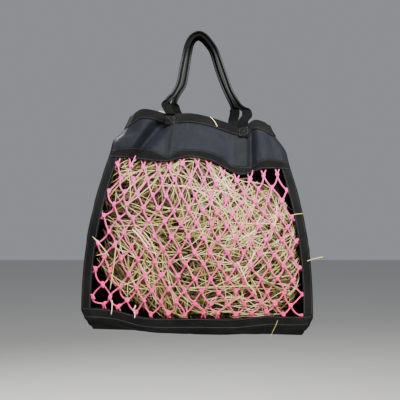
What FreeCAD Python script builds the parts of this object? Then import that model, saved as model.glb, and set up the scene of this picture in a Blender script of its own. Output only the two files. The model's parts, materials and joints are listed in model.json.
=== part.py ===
"""Slow-feed hay bag: a woven bag with a knotted net front, hung by two webbing handles.

Millimetres. +Z is up, the net faces -Y and the back lies on a wall on the +Y side.
The origin is the point of the peg that the handles hang on.
"""
import FreeCAD, Part
import math
import os

from FreeCAD import Vector

# ---------------------------------------------------------------- driving dimensions
# Levels are heights on the bag's centre line. The bag hangs a little low on its right side,
# so a level rises to the left by its lean, in mm for each mm across.
mouth_level = -199.0
mouth_lean = 0.10
base_front_level = -691.0
base_back_level = -733.0
base_lean = 0.03
base_sag = 16.0  # how far the middle of the front's lower edge hangs under its corners

mouth_left = 167.0  # half widths, from the origin's plane to the bag's corners
mouth_right = 177.0
base_left = 280.0
base_right = 276.0
left_flare = 2.2  # how quickly each side opens out below the mouth
right_flare = 2.6
back_narrower = 6.0

back_face_y = 35.0  # the plane of the wall
mouth_front_y = -40.0
base_front_y = -112.0
depth_flare = 1.8
mouth_bulge = 4.0
hay_bulge = 44.0  # how far the hay pushes the middle of the front out past its corners
gusset_bulge = 7.0
base_belly = 7.0

fabric = 1.5
tape = 1.8
seam_gap = 0.3
tape_width = 25.0
binding_depth = 22.0
header_top_level = -293.5
header_depth = 21.5
seam_binding_width = 10.0
binding_lap = 6.0  # how far the back panel runs on up behind its binding's lower edge
slot_margin = 2.0  # how far a binding's slot is cut past its ends

net_thickness = 4.0
net_tuck = 5.0  # how far the net runs in under its tapes
net_row_pitch = 30.0
net_first_row = 5.0  # from the header tape's lower edge to the first knots
net_rows = 12
net_columns = 13
net_hole_share = 0.82  # of each diamond between four knots

strap_width = 25.0
strap_thickness = 2.0
folded_width = 13.0
folded_depth = 8.0
strap_end_lap = 2.0  # how far a sewn end runs on past the binding
front_hinge_rise = 4.0  # the fold line of each handle above the mouth
back_hinge_rise = 9.0  # more at the back, where the handle folds over the binding
strap_end_rise = 1.0  # how far a sewn end runs up past the mouth
hinge_clearance = 3.5
front_ends_x = (-67.7, 111.2)
back_ends_x = (-48.0, 89.0)
front_apex_x = 2.5
back_apex_x = 1.5
front_apex_inside = 8.0  # height of the underside of each handle's top over the origin
back_apex_inside = 0.0
front_apex_y = -9.0
back_apex_y = 6.0

hay_top_level = -262.0
hay_bottom_drop = 4.0
hay_clearance = 7.0

reinforcement_x = ((-78.0, -54.0), (90.0, 120.0))


# ---------------------------------------------------------------- the bag's shape
def share_down(level):
    """0 at the mouth, 1 at the front's lower corners."""
    return (mouth_level - level) / (mouth_level - base_front_level)


def eased(share, power):
    return 1.0 - max(0.0, 1.0 - share) ** power


def left_x(level):
    return -(mouth_left + (base_left - mouth_left) * eased(share_down(level), left_flare))


def right_x(level):
    return mouth_right + (base_right - mouth_right) * eased(share_down(level), right_flare)


def lean(level):
    return mouth_lean + (base_lean - mouth_lean) * min(1.0, share_down(level))


def corner_y(level):
    return mouth_front_y + (base_front_y - mouth_front_y) * eased(share_down(level), depth_flare)


def bulge(level):
    down = min(1.0, max(0.0, share_down(level)))
    return mouth_bulge + hay_bulge * math.sin(math.pi * down ** 0.85)


def across(x, level):
    """-1 at the left corner, 1 at the right corner."""
    return (2.0 * x - left_x(level) - right_x(level)) / (right_x(level) - left_x(level))


def front_point(x, level, out):
    """A point of the front, out mm in front of the fabric's outer face."""
    middle = 1.0 - across(x, level) ** 2
    y = corner_y(level) - bulge(level) * middle - out
    z = level - lean(level) * x - base_sag * max(0.0, share_down(level)) ** 2 * middle
    return Vector(x, y, z)


def back_x(side, level):
    corner = left_x(level) if side < 0 else right_x(level)
    return corner - side * back_narrower


def back_height(x, level):
    return level - lean(level) * x


def gusset_point(side, deep, down, out, lift=0.0):
    """deep runs from the front corner, 0, to the back, 1; down from the mouth, 0, to the base, 1."""
    front_level = mouth_level + down * (base_front_level - mouth_level)
    back_level = mouth_level + down * (base_back_level - mouth_level)
    front = front_point(left_x(front_level) if side < 0 else right_x(front_level), front_level, 0.0)
    front.y += fabric + seam_gap
    rear_x = back_x(side, back_level)
    rear = Vector(rear_x, back_face_y - fabric - seam_gap, back_height(rear_x, back_level))
    point = front + (rear - front) * deep
    swell = gusset_bulge * math.sin(math.pi * min(1.0, down)) * 4.0 * deep * (1.0 - deep)
    point.x += side * (swell + out)
    point.z += lift
    return point


def base_point(sideways, deep, out):
    """sideways runs from -1 to 1; deep from the front seam, 0, to the back seam, 1."""
    x_front = left_x(base_front_level) + (sideways + 1.0) / 2.0 * (
        right_x(base_front_level) - left_x(base_front_level)
    )
    front = front_point(x_front, base_front_level, 0.0)
    x_rear = back_x(-1, base_back_level) + (sideways + 1.0) / 2.0 * (
        back_x(1, base_back_level) - back_x(-1, base_back_level)
    )
    rear = Vector(x_rear, back_face_y - fabric - seam_gap, back_height(x_rear, base_back_level))
    point = front + (rear - front) * deep
    point.z -= base_belly * 4.0 * deep * (1.0 - deep) * (1.0 - sideways ** 2) + seam_gap + out
    return point


# ---------------------------------------------------------------- solids from a shape
def steps(first, last, count):
    return [first + (last - first) * i / (count - 1.0) for i in range(count)]


def closed(faces):
    shell = Part.makeShell(faces)
    shell.sewShape()
    solid = Part.makeSolid(Part.Shell(shell.Faces))
    if solid.Volume < 0:
        solid.reverse()
    return solid


def sheet(point, outer, inner, columns=9, rows=7):
    """A curved sheet between two offsets of point(s, t, out), with s and t from 0 to 1."""
    skins = []
    for out in (outer, inner):
        surface = Part.BSplineSurface()
        surface.interpolate(
            [[point(s, t, out) for t in steps(0.0, 1.0, rows)] for s in steps(0.0, 1.0, columns)]
        )
        skins.append(surface)
    faces = [skin.toShape() for skin in skins]
    for iso, limits in (("uIso", (0, 1)), ("vIso", (2, 3))):
        for limit in limits:
            edges = [getattr(skin, iso)(skin.bounds()[limit]).toShape() for skin in skins]
            faces.append(Part.makeRuledSurface(edges[0], edges[1]))
    return closed(faces)


def front_sheet(left_edge, right_edge, top, bottom, outer, inner, columns=9, rows=7):
    """A sheet on the front, between two edges that are functions of the level."""

    def point(s, t, out):
        level = top + (bottom - top) * t
        x = left_edge(level) + (right_edge(level) - left_edge(level)) * s
        return front_point(x, level, out)

    return sheet(point, outer, inner, columns, rows)


def back_slab(inset, top, bottom, y_from, y_to, width=None):
    """A flat piece of the back between two levels; width limits it to a strip by one side."""
    levels = steps(bottom, top, 7)
    left = [Vector(back_x(-1, v) + inset, y_from, 0.0) for v in levels]
    right = [Vector(back_x(1, v) - inset, y_from, 0.0) for v in levels]
    if width is not None and width > 0:
        right = [Vector(p.x + width, y_from, 0.0) for p in left]
    if width is not None and width < 0:
        left = [Vector(p.x + width, y_from, 0.0) for p in right]
    for side in (left, right):
        for p, v in zip(side, levels):
            p.z = back_height(p.x, v)
    curves = []
    for side in (left, right):
        curve = Part.BSplineCurve()
        curve.interpolate(side)
        curves.append(curve.toShape())
    edges = [
        curves[0],
        Part.makeLine(left[-1], right[-1]),
        curves[1],
        Part.makeLine(right[0], left[0]),
    ]
    face = Part.Face(Part.Wire(Part.__sortEdges__(edges)))
    return face.extrude(Vector(0.0, y_to - y_from, 0.0))


# ---------------------------------------------------------------- fabric panels
def corner_clearance():
    """From a corner in to what lies between the gussets."""
    return fabric + 2.0 * seam_gap


def tongue_lower():
    return binding_lower() - seam_gap - binding_lap


def back_panel():
    """The sheet on the wall, stepped in at the top so that its binding lies flush with it."""
    step = binding_lower() - seam_gap
    tongue_out = back_face_y - tape - seam_gap
    main = back_slab(0.0, step, base_back_level - fabric - seam_gap, back_face_y - fabric, back_face_y)
    tongue = back_slab(
        corner_clearance() + seam_gap,
        mouth_level + seam_gap,
        tongue_lower(),
        tongue_out - fabric,
        tongue_out,
    )
    joined = back_slab(
        corner_clearance(),
        step - seam_gap,
        step - binding_lap / 2.0,
        tongue_out - fabric / 2.0,
        back_face_y - fabric / 2.0,
    )
    return main.fuse([tongue, joined]).removeSplitter()


def gusset(side):
    return sheet(lambda s, t, out: gusset_point(side, s, t, out), 0.0, -fabric, 7, 9)


def base_panel():
    return sheet(lambda s, t, out: base_point(2.0 * s - 1.0, t, out), 0.0, fabric, 11, 7)


def front_yoke():
    lower = header_top_level - header_depth / 2.0
    return front_sheet(left_x, right_x, mouth_level, lower, 0.0, -fabric)


# ---------------------------------------------------------------- tapes and bindings
def binding_lower():
    return mouth_level - binding_depth


def front_binding():
    outer = seam_gap + tape
    clear = corner_clearance()
    block = front_sheet(
        lambda v: left_x(v) + clear,
        lambda v: right_x(v) - clear,
        mouth_level + outer,
        binding_lower(),
        outer,
        -fabric - outer,
        rows=4,
    )
    slot = front_sheet(
        lambda v: left_x(v) - slot_margin,
        lambda v: right_x(v) + slot_margin,
        mouth_level + seam_gap,
        binding_lower() - slot_margin,
        seam_gap,
        -fabric - seam_gap,
        rows=4,
    )
    return block.cut(slot)


def back_binding():
    outer = seam_gap + tape
    clear = corner_clearance()
    inner_y = back_face_y - fabric - 2.0 * outer
    block = back_slab(clear, mouth_level + outer, binding_lower(), inner_y, back_face_y)
    slot = back_slab(
        clear - slot_margin,
        mouth_level + 2.0 * seam_gap,
        binding_lower() - slot_margin,
        inner_y + tape,
        back_face_y - tape,
    )
    return block.cut(slot)


def side_binding(side):
    """Webbing folded over the gusset's top edge, between the front and back bindings."""
    outer = seam_gap + tape
    depth = back_face_y - mouth_front_y
    front_deep = (outer + 2.0 * seam_gap) / depth
    rear_deep = 1.0 - (2.0 * outer + seam_gap) / depth
    lowest = binding_depth / (mouth_level - base_front_level)

    def band(front, rear, down, rise):
        def point(s, t, out):
            return gusset_point(side, front + (rear - front) * s, down * t, out, rise * (1.0 - t))

        return point

    block = sheet(band(front_deep, rear_deep, lowest, outer), outer, -fabric - outer, 5, 4)
    past = slot_margin / depth
    below = lowest + slot_margin / (mouth_level - base_front_level)
    slot = sheet(
        band(front_deep - past, rear_deep + past, below, seam_gap), seam_gap, -fabric - seam_gap, 5, 4
    )
    return block.cut(slot)


def header_bottom_level():
    return header_top_level - header_depth


def header_tape():
    return front_sheet(
        left_x, right_x, header_top_level, header_bottom_level(), seam_gap + tape, seam_gap, rows=4
    )


def tape_inner_x(side):
    corner = left_x if side < 0 else right_x
    return lambda level: corner(level) - side * tape_width


def side_tape(side):
    corner = left_x if side < 0 else right_x
    inner = tape_inner_x(side)
    edges = (corner, inner) if side < 0 else (inner, corner)
    top = header_bottom_level() - seam_gap
    bottom = base_front_level + tape_width + seam_gap
    return front_sheet(*edges, top, bottom, seam_gap + tape, seam_gap, 4, 9)


def bottom_tape():
    top = base_front_level + tape_width
    bottom = base_front_level - tape
    return front_sheet(left_x, right_x, top, bottom, seam_gap + tape, seam_gap, 11, 4)


def back_seam_binding(side):
    clear = corner_clearance() + 2.0 * seam_gap
    y_to = back_face_y - fabric - seam_gap
    top = tongue_lower() - seam_gap
    bottom = base_back_level + 2.0 * tape + seam_binding_width
    return back_slab(clear, top, bottom, y_to - tape, y_to, -side * seam_binding_width)


def base_seam_binding():
    clear = corner_clearance() + 2.0 * seam_gap
    y_to = back_face_y - fabric - seam_gap
    bottom = base_back_level + tape
    return back_slab(clear, bottom + seam_binding_width, bottom, y_to - tape, y_to)


def reinforcement(limits):
    top = binding_lower() - seam_gap
    bottom = header_top_level + seam_gap
    return front_sheet(
        lambda v: limits[0], lambda v: limits[1], top, bottom, seam_gap + tape, seam_gap, 5, 6
    )


# ---------------------------------------------------------------- net
def net_edge(side):
    inner = tape_inner_x(side)
    return lambda level: inner(level) + side * net_tuck


def net_knot(row, column):
    """Column counts meshes from the left tape, so odd rows have their knots at the halves."""
    level = header_bottom_level() - net_first_row - net_row_pitch * row
    left = tape_inner_x(-1)(level)
    right = tape_inner_x(1)(level)
    return front_point(left + (right - left) * column / net_columns, level, 0.0)


def net_hole(row, column):
    """A diamond prism between the knots above, right, below and left of it."""
    corners = [
        net_knot(row - 1, column),
        net_knot(row, column + 0.5),
        net_knot(row + 1, column),
        net_knot(row, column - 0.5),
    ]
    middle = (corners[0] + corners[1] + corners[2] + corners[3]) * 0.25
    flat = []
    for corner in corners:
        point = middle + (corner - middle) * net_hole_share
        flat.append(Vector(point.x, 0.0, point.z))
    face = Part.Face(Part.makePolygon(flat + flat[:1]))
    return face.extrude(Vector(0.0, 2.0 * base_front_y, 0.0))


def feeding_net():
    top = header_bottom_level() + net_tuck
    bottom = base_front_level + net_tuck
    cloth = front_sheet(
        net_edge(-1), net_edge(1), top, bottom, -seam_gap, -seam_gap - net_thickness, 9, 9
    )
    holes = []
    for row in range(net_rows):
        shift = 0.0 if row % 2 else 0.5
        count = net_columns + 1 if row % 2 else net_columns
        holes += [net_hole(row, column + shift) for column in range(count)]
    return cloth.cut(Part.makeCompound(holes))


# ---------------------------------------------------------------- handles
class Handle:
    """Webbing that leaves the mouth flat, folds lengthwise and arches over the peg."""

    def __init__(self, forward, ends_x, apex_x, apex_inside, apex_y, legs):
        self.forward = forward  # -1 in front, 1 at the back
        self.ends_x = ends_x
        outer = seam_gap + tape
        if forward < 0:
            self.rise = front_hinge_rise
            self.hinge_y = mouth_front_y - mouth_bulge - outer - seam_gap - strap_thickness / 2.0
        else:
            self.rise = back_hinge_rise
            self.hinge_y = back_face_y - fabric / 2.0 - outer
        apex_z = apex_inside + folded_width / 2.0
        self.slope = (apex_y - self.hinge_y) / (apex_z - self.hinge_z(apex_x))
        foot = [(x, self.hinge_z(x) + hinge_clearance) for x in ends_x]
        self.route = [foot[0]] + legs[0] + [(apex_x, apex_z)] + legs[1] + [foot[1]]

    def hinge_z(self, x):
        """The hinge is a straight line through the two fold lines."""
        ends = [back_height(e, mouth_level) + self.rise for e in self.ends_x]
        share = (x - self.ends_x[0]) / (self.ends_x[1] - self.ends_x[0])
        return ends[0] + (ends[1] - ends[0]) * share

    def in_plane(self, x, z):
        return Vector(x, self.hinge_y + (z - self.hinge_z(x)) * self.slope, z)

    def normal(self):
        origin = self.in_plane(0.0, 0.0)
        n = (self.in_plane(1.0, 0.0) - origin).cross(self.in_plane(0.0, 1.0) - origin)
        n.normalize()
        return n if n.y * self.forward > 0 else n * -1.0

    def edge(self, offset, first=0, last=None):
        """The route moved sideways by offset(point number), as a smooth edge."""
        points = []
        for i, (x, z) in enumerate(self.route):
            before = self.route[max(0, i - 1)]
            after = self.route[min(len(self.route) - 1, i + 1)]
            run = Vector(after[0] - before[0], 0.0, after[1] - before[1])
            run.normalize()
            shift = offset(i)
            points.append(self.in_plane(x - run.z * shift, z + run.x * shift))
        curve = Part.BSplineCurve()
        curve.interpolate(points[first:last])
        return curve

    def band(self, outer, inner, depth, first=0, last=None):
        curves = [self.edge(outer, first, last), self.edge(inner, first, last)]
        starts = [c.value(c.FirstParameter) for c in curves]
        finishes = [c.value(c.LastParameter) for c in curves]
        edges = [curves[0].toShape(), curves[1].toShape()]
        edges += [Part.makeLine(*starts), Part.makeLine(*finishes)]
        face = Part.Face(Part.Wire(Part.__sortEdges__(edges)))
        base = self.normal() * (-strap_thickness / 2.0)
        face.translate(base)
        return face.extrude(self.normal() * depth)

    def half_width(self, i):
        """Flat and full width at the two lowest points of each leg, folded in between."""
        from_foot = min(i, len(self.route) - 1 - i)
        return (strap_width if from_foot < 2 else folded_width) / 2.0

    def loop(self):
        strap = self.band(self.half_width, lambda i: -self.half_width(i), strap_thickness)
        edge = folded_width / 2.0 - 2.0 * seam_gap
        flanges = [
            self.band(
                lambda i: side * edge,
                lambda i: side * (edge - strap_thickness),
                folded_depth,
                3,
                -3,
            )
            for side in (-1.0, 1.0)
        ]
        return strap.fuse(flanges).removeSplitter()


def front_handle():
    left_leg = [(-72.0, -165.0), (-59.5, -141.0), (-46.5, -110.0), (-39.0, -70.0), (-30.5, -30.0)]
    left_leg += [(-17.0, 4.0)]
    right_leg = [(19.0, 5.0), (45.0, -32.0), (61.0, -78.0), (74.0, -116.0), (89.5, -150.0)]
    right_leg += [(111.0, -184.0)]
    legs = (left_leg, right_leg)
    return Handle(-1, front_ends_x, front_apex_x, front_apex_inside, front_apex_y, legs)


def back_handle():
    left_leg = [(-54.0, -163.0), (-45.0, -136.0), (-36.0, -109.0), (-29.0, -70.0), (-21.5, -28.0)]
    left_leg += [(-12.0, -1.0)]
    right_leg = [(15.0, -1.0), (36.0, -30.0), (52.0, -76.0), (66.0, -114.0), (79.0, -147.0)]
    right_leg += [(87.0, -173.0)]
    legs = (left_leg, right_leg)
    return Handle(1, back_ends_x, back_apex_x, back_apex_inside, back_apex_y, legs)


def front_strap_end(x):
    """The flat end of the front handle, sewn over the binding."""
    base = 2.0 * seam_gap + tape
    half = strap_width / 2.0
    return front_sheet(
        lambda v: x - half,
        lambda v: x + half,
        mouth_level + strap_end_rise,
        binding_lower() - strap_end_lap,
        base + strap_thickness,
        base,
        5,
        4,
    )


def back_strap_end(x):
    """The flat end of the back handle, sewn inside so that the back stays flat."""
    y_to = back_face_y - fabric - 2.0 * (seam_gap + tape) - seam_gap
    top = mouth_level + strap_end_rise
    bottom = binding_lower() - strap_end_lap
    corners = []
    for side, level in ((-1, top), (1, top), (1, bottom), (-1, bottom)):
        px = x + side * strap_width / 2.0
        corners.append(Vector(px, y_to, back_height(px, level)))
    face = Part.Face(Part.makePolygon(corners + corners[:1]))
    return face.extrude(Vector(0.0, -strap_thickness, 0.0))


# ---------------------------------------------------------------- hay
def hay_fill():
    """The packed hay: wide in the middle, rounded off over the base and under the mouth."""
    bottom = base_front_level + hay_bottom_drop
    shape = (
        (0.00, 0.30, 0.30),
        (0.02, 0.48, 0.52),
        (0.08, 0.72, 0.78),
        (0.20, 0.88, 0.93),
        (0.45, 0.92, 1.00),
        (0.70, 0.90, 1.00),
        (0.88, 0.82, 0.90),
        (0.97, 0.62, 0.66),
        (1.00, 0.48, 0.48),
    )
    wires = []
    for down, wide, deep in shape:
        level = hay_top_level + (bottom - hay_top_level) * down
        front_y = corner_y(level) - bulge(level) + net_thickness + hay_clearance
        rear_y = back_face_y - fabric - tape - hay_clearance / 2.0
        half_x = wide * ((right_x(level) - left_x(level)) / 2.0 - tape_width / 2.0)
        half_y = deep * (rear_y - front_y) / 2.0
        middle = Vector((left_x(level) + right_x(level)) / 2.0, (front_y + rear_y) / 2.0, level)
        major = middle + Vector(half_x, 0.0, -lean(level) * half_x)
        minor = middle + Vector(0.0, half_y, 0.0)
        wires.append(Part.Wire([Part.Ellipse(major, minor, middle).toShape()]))
    return Part.makeLoft(wires, True, False)


# ---------------------------------------------------------------- build
def main():
    front = front_handle()
    back = back_handle()
    nodes = {
        "back_panel": back_panel(),
        "left_gusset": gusset(-1),
        "right_gusset": gusset(1),
        "base_panel": base_panel(),
        "front_yoke": front_yoke(),
        "front_mouth_binding": front_binding(),
        "back_mouth_binding": back_binding(),
        "left_mouth_binding": side_binding(-1),
        "right_mouth_binding": side_binding(1),
        "net_header_tape": header_tape(),
        "left_net_tape": side_tape(-1),
        "right_net_tape": side_tape(1),
        "bottom_net_tape": bottom_tape(),
        "left_back_seam_binding": back_seam_binding(-1),
        "right_back_seam_binding": back_seam_binding(1),
        "back_base_seam_binding": base_seam_binding(),
        "front_left_reinforcement": reinforcement(reinforcement_x[0]),
        "front_right_reinforcement": reinforcement(reinforcement_x[1]),
        "feeding_net": feeding_net(),
        "hay_fill": hay_fill(),
        "front_handle_left_end": front_strap_end(front_ends_x[0]),
        "front_handle_right_end": front_strap_end(front_ends_x[1]),
        "back_handle_left_end": back_strap_end(back_ends_x[0]),
        "back_handle_right_end": back_strap_end(back_ends_x[1]),
        "front_handle_loop": front.loop(),
        "back_handle_loop": back.loop(),
    }
    os.makedirs("parts", exist_ok=True)
    for name, shape in nodes.items():
        shape.exportStep("parts/" + name + ".step")
        print(f"{name:28s} valid {shape.isValid()} solids {len(shape.Solids)} {shape.Volume:10.0f} mm3")
    for name, handle in (("front", front), ("back", back)):
        ends = [(x, handle.hinge_y, round(handle.hinge_z(x), 2)) for x in handle.ends_x]
        print(name, "handle hinge through", ends)


main()
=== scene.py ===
# %% [markdown]
# # A hay bag with a net front
#
# The object is a slow-feed hay bag: a woven black bag whose front is a knotted pink net, packed
# with hay and hung by two webbing handles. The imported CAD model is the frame. It fixes where the
# bag, its tapes and its handles are, and this lesson gives each of them its cloth, twine or hay.
# We start by loading that frame and letting go of everything it leaves selected.

# %% Load the frame
import json
import math
import random

import bpy
from mathutils import Matrix, Vector, noise


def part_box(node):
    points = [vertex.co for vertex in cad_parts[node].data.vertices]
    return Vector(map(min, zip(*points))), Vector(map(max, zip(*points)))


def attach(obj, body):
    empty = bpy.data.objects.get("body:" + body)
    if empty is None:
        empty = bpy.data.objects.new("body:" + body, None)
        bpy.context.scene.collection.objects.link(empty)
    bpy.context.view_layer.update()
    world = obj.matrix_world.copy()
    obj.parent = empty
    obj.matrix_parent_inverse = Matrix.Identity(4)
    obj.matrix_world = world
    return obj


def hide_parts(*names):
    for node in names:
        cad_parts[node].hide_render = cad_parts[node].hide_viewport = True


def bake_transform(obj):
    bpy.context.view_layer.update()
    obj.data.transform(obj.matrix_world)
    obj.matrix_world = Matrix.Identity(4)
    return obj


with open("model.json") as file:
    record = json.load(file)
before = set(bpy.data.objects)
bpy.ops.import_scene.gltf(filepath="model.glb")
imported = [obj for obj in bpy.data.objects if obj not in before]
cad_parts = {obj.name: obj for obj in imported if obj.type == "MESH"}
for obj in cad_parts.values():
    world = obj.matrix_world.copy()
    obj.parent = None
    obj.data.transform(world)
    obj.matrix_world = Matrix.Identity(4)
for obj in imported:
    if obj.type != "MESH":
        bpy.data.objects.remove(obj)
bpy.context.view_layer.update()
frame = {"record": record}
bpy.ops.object.select_all(action="DESELECT")

# %% [markdown]
# ## The camera and the light
#
# The camera stands level, in front of the bag and about half way down it. A long lens from well
# back keeps the sides of the bag nearly parallel. The light is soft: a wide lamp above on the right,
# a weaker one from the left, a third behind that draws the edges of the back, and a pale world, so
# that black cloth still shows its folds.

# %% Camera, lamps, floor and world
VIEW_X, VIEW_Z = 0.005, -0.400
VIEW_DISTANCE = 2.40
VIEW_WIDTH = 1.0  # metres across the view at the hanging point
LAMP_AIM = Vector((0, -0.05, -0.42))  # the middle of the hay
FLOOR_Z = -1.30

bpy.ops.object.camera_add(location=(VIEW_X, -VIEW_DISTANCE, VIEW_Z), rotation=(math.pi / 2, 0, 0))
camera = bpy.context.object
camera.data.lens = camera.data.sensor_width * VIEW_DISTANCE / VIEW_WIDTH
bpy.context.scene.camera = camera


def soft_lamp(name, place, size, power, colour):
    bpy.ops.object.light_add(type="AREA", location=place)
    lamp = bpy.context.object
    lamp.name = name
    lamp.data.size = size
    lamp.data.energy = power
    lamp.data.color = colour
    lamp.rotation_euler = (LAMP_AIM - Vector(place)).to_track_quat("-Z", "Y").to_euler()


soft_lamp("key_lamp", (0.7, -1.6, 1.4), 0.9, 215, (1.0, 0.98, 0.96))
soft_lamp("fill_lamp", (-1.9, -1.8, 0.5), 1.6, 40, (0.86, 0.92, 1.0))
soft_lamp("rim_lamp", (-0.9, 1.6, 1.1), 1.2, 90, (1.0, 1.0, 1.0))

bpy.ops.mesh.primitive_plane_add(size=24, location=(0, 0, FLOOR_Z))
floor = bpy.context.object
floor.name = "floor"
floor_paint = bpy.data.materials.new("floor_paint")
floor_paint.use_nodes = True
matt = floor_paint.node_tree.nodes["Principled BSDF"].inputs
matt["Base Color"].default_value = (0.60, 0.59, 0.57, 1)
matt["Roughness"].default_value = 0.9
floor.data.materials.append(floor_paint)

world = bpy.data.worlds.new("pale_room")
bpy.context.scene.world = world
world.use_nodes = True
room_light = world.node_tree.nodes["Background"]
room_light.inputs["Color"].default_value = (0.82, 0.85, 0.90, 1)
room_light.inputs["Strength"].default_value = 0.34
print("lens", round(camera.data.lens, 1), "mm")

# %% [markdown]
# ## Node groups: weave, webbing ribs, painted edge highlights, twisted twine and stable dust
#
# Each cloth effect is a node group, built once and placed in every material that needs it. All but
# the dust read the piece's UV map, which we lay out in real metres, so that threads keep their size
# however the cloth is folded. The weave, the ribs and the plies put out a height for a Bump node,
# and the painted highlight on a strap's edges and the dust put out a mask for the colour.

# %% Small helpers for nodes
def new_group(name, inputs, outputs):
    """A shader group with named sockets; inputs are (name, type, value), outputs (name, type)."""
    group = bpy.data.node_groups.new(name, "ShaderNodeTree")
    for title, kind, value in inputs:
        socket = group.interface.new_socket(title, in_out="INPUT", socket_type=kind)
        if value is not None:
            socket.default_value = value
    for title, kind in outputs:
        group.interface.new_socket(title, in_out="OUTPUT", socket_type=kind)
    return group, group.nodes.new("NodeGroupInput"), group.nodes.new("NodeGroupOutput")


def feed(tree, socket, value):
    if isinstance(value, bpy.types.NodeSocket):
        tree.links.new(value, socket)
    else:
        socket.default_value = value


def calc(tree, operation, a, b=0.0):
    node = tree.nodes.new("ShaderNodeMath")
    node.operation = operation
    feed(tree, node.inputs[0], a)
    feed(tree, node.inputs[1], b)
    return node.outputs[0]


def split_uv(tree, vector):
    node = tree.nodes.new("ShaderNodeSeparateXYZ")
    tree.links.new(vector, node.inputs[0])
    return node.outputs[0], node.outputs[1]


def noise_texture(tree, spot, scale, detail=2.0):
    node = tree.nodes.new("ShaderNodeTexNoise")
    feed(tree, node.inputs["Scale"], scale)
    node.inputs["Detail"].default_value = detail
    tree.links.new(spot, node.inputs["Vector"])
    return node


def share_between(tree, value, low, high):
    """0 where value is low and 1 where it is high."""
    node = tree.nodes.new("ShaderNodeMapRange")
    node.inputs["From Min"].default_value = low
    node.inputs["From Max"].default_value = high
    tree.links.new(value, node.inputs["Value"])
    return node.outputs[0]


FLOAT, VECTOR = "NodeSocketFloat", "NodeSocketVector"

# %% Plain weave: threads cross over and under
weave, given, result = new_group(
    "plain_weave", [("UV", VECTOR, None), ("Threads per metre", FLOAT, 1200.0)], [("Height", FLOAT)]
)
u, v = split_uv(weave, given.outputs["UV"])
u = calc(weave, "MULTIPLY", u, given.outputs["Threads per metre"])
v = calc(weave, "MULTIPLY", v, given.outputs["Threads per metre"])
parity = calc(weave, "ADD", calc(weave, "FLOOR", u), calc(weave, "FLOOR", v))
over = calc(weave, "FLOORED_MODULO", parity, 2.0)
warp = calc(weave, "SINE", calc(weave, "MULTIPLY", calc(weave, "FRACT", u), math.pi))
weft = calc(weave, "SINE", calc(weave, "MULTIPLY", calc(weave, "FRACT", v), math.pi))
upper = calc(weave, "MULTIPLY", over, warp)
under = calc(weave, "MULTIPLY", calc(weave, "SUBTRACT", 1.0, over), weft)
weave.links.new(calc(weave, "ADD", upper, under), result.inputs["Height"])

# %% Webbing: slanting ribs in two bands, as on a strap
RIB_SLANT = 0.35
THREAD_PITCH = 0.0016
ribs, given, result = new_group(
    "webbing_ribs",
    [("UV", VECTOR, None), ("Rib pitch", FLOAT, 0.0022), ("Band", FLOAT, 0.0125)],
    [("Height", FLOAT)],
)
u, v = split_uv(ribs, given.outputs["UV"])
slant = calc(ribs, "PINGPONG", u, given.outputs["Band"])
along = calc(ribs, "ADD", v, calc(ribs, "MULTIPLY", slant, RIB_SLANT))
turns = calc(ribs, "DIVIDE", along, given.outputs["Rib pitch"])
rib = calc(ribs, "SINE", calc(ribs, "MULTIPLY", turns, 2.0 * math.pi))
threads = calc(ribs, "SINE", calc(ribs, "MULTIPLY", u, 2.0 * math.pi / THREAD_PITCH))
ribs.links.new(
    calc(ribs, "ADD", calc(ribs, "MULTIPLY", rib, 0.7), calc(ribs, "MULTIPLY", threads, 0.3)),
    result.inputs["Height"],
)

# %% Painted highlight along both selvedges of a strap
edge_highlight, given, result = new_group(
    "edge_highlight", [("UV", VECTOR, None), ("Strap width", FLOAT, 0.025), ("Reach", FLOAT, 0.0046)],
    [("Mask", FLOAT)],
)
u, v = split_uv(edge_highlight, given.outputs["UV"])
from_edge = calc(edge_highlight, "MINIMUM", u, calc(edge_highlight, "SUBTRACT", given.outputs["Strap width"], u))
inside = calc(edge_highlight, "DIVIDE", from_edge, given.outputs["Reach"])
fade_in = calc(edge_highlight, "MULTIPLY", calc(edge_highlight, "SUBTRACT", 1.0, inside), 2.5)
edge_highlight.links.new(
    calc(edge_highlight, "MINIMUM", calc(edge_highlight, "MAXIMUM", fade_in, 0.0), 1.0), result.inputs["Mask"]
)

# %% Twine: plies that wind round it
twist, given, result = new_group(
    "twisted_plies",
    [("UV", VECTOR, None), ("Plies", FLOAT, 3.0), ("Lay", FLOAT, 0.011)],
    [("Height", FLOAT)],
)
u, v = split_uv(twist, given.outputs["UV"])
wind = calc(twist, "DIVIDE", v, given.outputs["Lay"])
turn = calc(twist, "MULTIPLY", calc(twist, "ADD", u, wind), given.outputs["Plies"])
ply = calc(twist, "SINE", calc(twist, "MULTIPLY", calc(twist, "FRACT", turn), math.pi))
twist.links.new(ply, result.inputs["Height"])

# %% Dust: cloudy patches with fine specks
dust, given, result = new_group(
    "stable_dust",
    [("Vector", VECTOR, None), ("Patch size", FLOAT, 9.0), ("Amount", FLOAT, 0.5)],
    [("Mask", FLOAT)],
)
clouds = noise_texture(dust, given.outputs["Vector"], given.outputs["Patch size"], 6.0)
clouds.inputs["Roughness"].default_value = 0.68
specks = noise_texture(dust, given.outputs["Vector"], 420.0)
mix = calc(dust, "MULTIPLY", clouds.outputs[0], calc(dust, "ADD", specks.outputs[0], 0.5))
spread = share_between(dust, mix, 0.38, 0.78)
dust.links.new(calc(dust, "MULTIPLY", spread, given.outputs["Amount"]), result.inputs["Mask"])
print("node groups:", [g.name for g in bpy.data.node_groups])
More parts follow.
